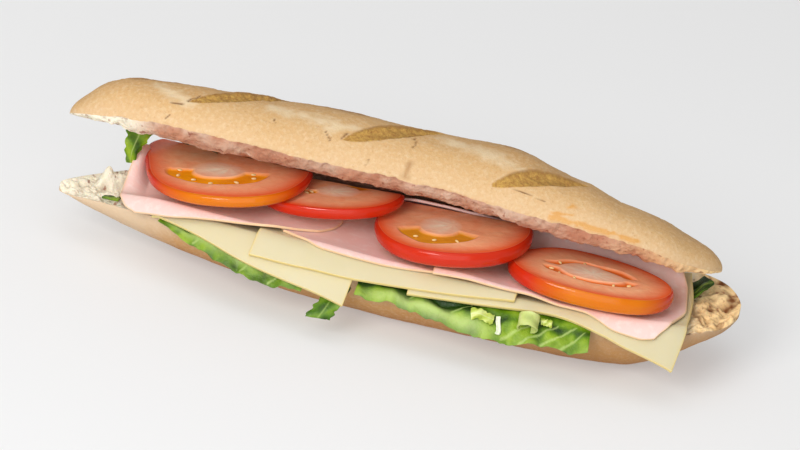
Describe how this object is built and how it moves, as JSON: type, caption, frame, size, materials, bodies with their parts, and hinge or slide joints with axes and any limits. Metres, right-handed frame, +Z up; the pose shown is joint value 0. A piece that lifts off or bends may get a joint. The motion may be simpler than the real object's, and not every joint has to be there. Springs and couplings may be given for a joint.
{
  "type": "submarine sandwich",
  "caption": "Split long bread roll opened at its front edge over lettuce, sliced cheese, cooked ham and tomato slices, resting flat on its underside.",
  "frame": {"origin": "middle of the bounding box in plan, on the surface the sandwich rests on", "axes": "+X along the loaf towards its broader torn end, -Y towards the open front where the filling shows, +Z up"},
  "size_m": [0.2924, 0.0928, 0.0809],
  "materials": {
    "baked_crust": null,
    "mild_cheese": null,
    "cooked_ham": null,
    "ripe_tomato": null,
    "crisp_lettuce": null
  },
  "bodies": {
    "root": {"bread_bottom": "baked_crust", "bread_top": "baked_crust", "cheese_a": "mild_cheese", "cheese_b": "mild_cheese", "cheese_c": "mild_cheese", "ham_a": "cooked_ham", "ham_b": "cooked_ham", "ham_back": "cooked_ham", "ham_c": "cooked_ham", "lettuce_back": "crisp_lettuce", "lettuce_centre": "crisp_lettuce", "lettuce_drop": "crisp_lettuce", "lettuce_end_left": "crisp_lettuce", "lettuce_end_right": "crisp_lettuce", "lettuce_frill_a": "crisp_lettuce", "lettuce_frill_b": "crisp_lettuce", "lettuce_left": "crisp_lettuce", "lettuce_scrap": "crisp_lettuce", "lettuce_shred": "crisp_lettuce", "lettuce_sliver": "crisp_lettuce", "lettuce_stalk": "crisp_lettuce", "tomato_1": "ripe_tomato", "tomato_2": "ripe_tomato", "tomato_3": "ripe_tomato", "tomato_4": "ripe_tomato"}
  },
  "joints": []
}
